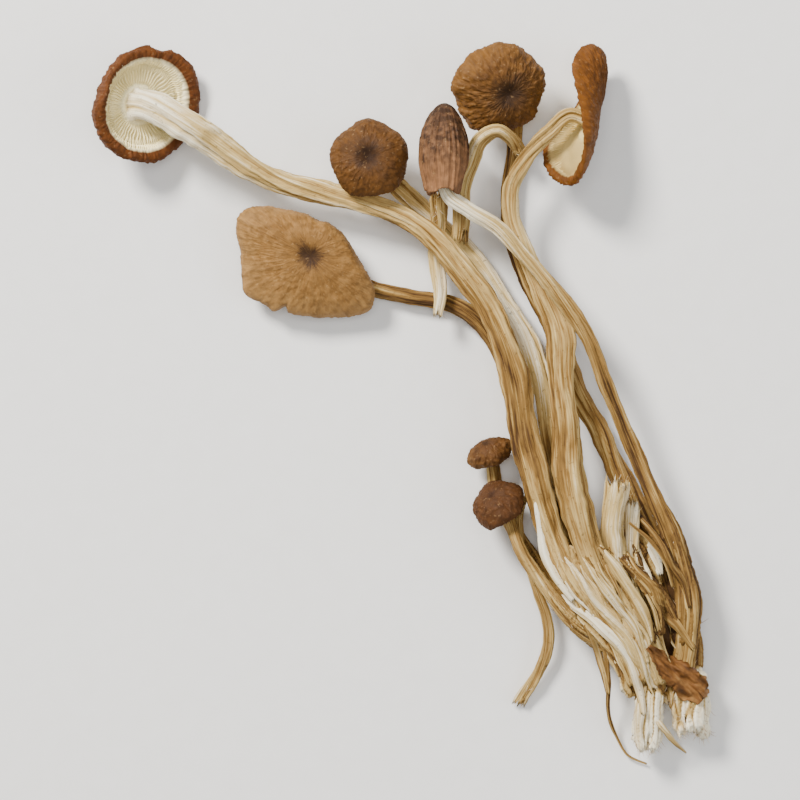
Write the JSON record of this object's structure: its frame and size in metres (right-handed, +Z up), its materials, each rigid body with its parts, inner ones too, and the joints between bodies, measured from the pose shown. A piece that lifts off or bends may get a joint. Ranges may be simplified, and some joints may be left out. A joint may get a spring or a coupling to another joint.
{
  "type": "dried tea tree mushroom clump",
  "caption": "Dried clump of slender mushrooms grown from a fused foot, lying on its side: long ridged stems, wrinkled brown caps, frayed pale root end.",
  "frame": {"origin": "on the surface that the clump lies on, under the middle of its bounding box", "axes": "+Y along the clump from the foot to the caps, its longest side; +Z up from the surface, its shortest side; +X to the right of the stems as seen from above"},
  "size_m": [0.087, 0.1505, 0.0179],
  "materials": {
    "cap": "dried wrinkled brown skin with a dark sunken middle, and pale gills below",
    "stem": "dry fibrous stem with lengthwise ridges, cream to tan, with brown grooves",
    "broken_stem": "pale dry stem, torn off at the end",
    "torn_flesh": "thin torn fibrous strips, cream to tan",
    "foot": "fused fibrous foot, white torn flesh with brown dry skin"
  },
  "bodies": {
    "root": {"stem_1": "stem", "stem_2": "stem", "stem_3": "stem", "stem_4": "stem", "stem_5": "stem", "stem_6": "stem", "stem_7": "stem", "stem_8": "stem", "cap_1": "cap", "cap_2": "cap", "cap_3": "cap", "cap_4": "cap", "cap_5": "cap", "cap_6": "cap", "cap_7": "cap", "cap_8": "cap", "broken_stem_1": "broken_stem", "broken_stem_2": "broken_stem", "torn_branch": "torn_flesh", "torn_stem": "torn_flesh", "torn_strand": "torn_flesh", "foot": "foot"}
  },
  "joints": []
}
